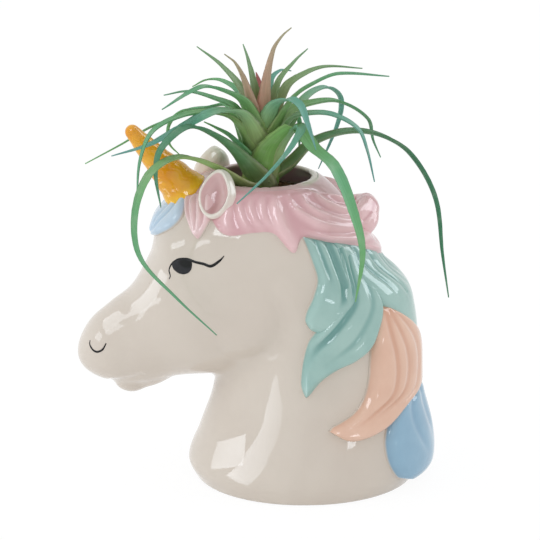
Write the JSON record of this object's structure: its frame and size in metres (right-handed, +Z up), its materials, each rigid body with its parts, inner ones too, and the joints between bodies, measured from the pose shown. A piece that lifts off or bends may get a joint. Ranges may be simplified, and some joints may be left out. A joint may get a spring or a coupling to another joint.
{
  "type": "unicorn planter",
  "caption": "Hollow glazed ceramic planter shaped as a unicorn head with a relief mane, holding a lift-out foam block and an artificial strap-leaf plant.",
  "frame": {"origin": "centre of the flat foot of the neck, on the surface the pot stands on", "axes": "+Z up through the mouth of the pot, -X towards the nose, -Y towards the left side of the animal, which is the side in the picture"},
  "size_m": [0.1751, 0.0998, 0.2191],
  "materials": {
    "glaze_white": "gloss",
    "glaze_pink": "gloss",
    "glaze_mint": "gloss",
    "glaze_peach": "gloss",
    "glaze_blue": "gloss",
    "glaze_gold": "gloss",
    "foam": "matte",
    "moss": "matte",
    "leaf_green": "satin",
    "leaf_dark": "satin",
    "leaf_teal": "satin",
    "leaf_bright": "satin",
    "leaf_olive": "satin",
    "leaf_blush": "satin",
    "leaf_red": "satin"
  },
  "bodies": {
    "pot": {"head_shell": "glaze_white", "horn": "glaze_gold", "forelock_blue": "glaze_blue", "rear_tuft": "glaze_pink", "ear_left": "glaze_white", "ear_right": "glaze_white", "crown_left": "glaze_pink", "crown_right": "glaze_pink", "forelock_pink_left": "glaze_pink", "forelock_pink_right": "glaze_pink", "mint_upper_left": "glaze_mint", "mint_upper_right": "glaze_mint", "mint_rear_left": "glaze_mint", "mint_rear_right": "glaze_mint", "mint_lower_left": "glaze_mint", "mint_lower_right": "glaze_mint", "peach_left": "glaze_peach", "peach_right": "glaze_peach", "nape_blue_left": "glaze_blue", "nape_blue_right": "glaze_blue"},
    "foam": {"foam_block": "foam", "moss_pad": "moss"},
    "plant": {"plant_stem": "leaf_green", "leaf_01": "leaf_blush", "leaf_02": "leaf_olive", "leaf_03": "leaf_teal", "leaf_04": "leaf_olive", "leaf_05": "leaf_green", "leaf_06": "leaf_teal", "leaf_07": "leaf_green", "leaf_08": "leaf_teal", "leaf_09": "leaf_dark", "leaf_10": "leaf_bright", "leaf_11": "leaf_teal", "leaf_12": "leaf_teal", "leaf_13": "leaf_green", "leaf_14": "leaf_olive", "leaf_15": "leaf_blush", "leaf_16": "leaf_olive", "leaf_17": "leaf_red", "leaf_18": "leaf_bright", "leaf_19": "leaf_green", "leaf_20": "leaf_green", "leaf_21": "leaf_bright", "leaf_22": "leaf_teal", "leaf_23": "leaf_green", "leaf_24": "leaf_bright", "leaf_25": "leaf_dark", "leaf_26": "leaf_green", "leaf_27": "leaf_bright"}
  },
  "joints": [
    {"name": "foam_lift", "type": "slide", "parent": "pot", "child": "foam", "axis": [0, 0, 1], "range_m": [0, 0.15]},
    {"name": "plant_lift", "type": "slide", "parent": "foam", "child": "plant", "axis": [0, 0, 1], "range_m": [0, 0.062]}
  ]
}
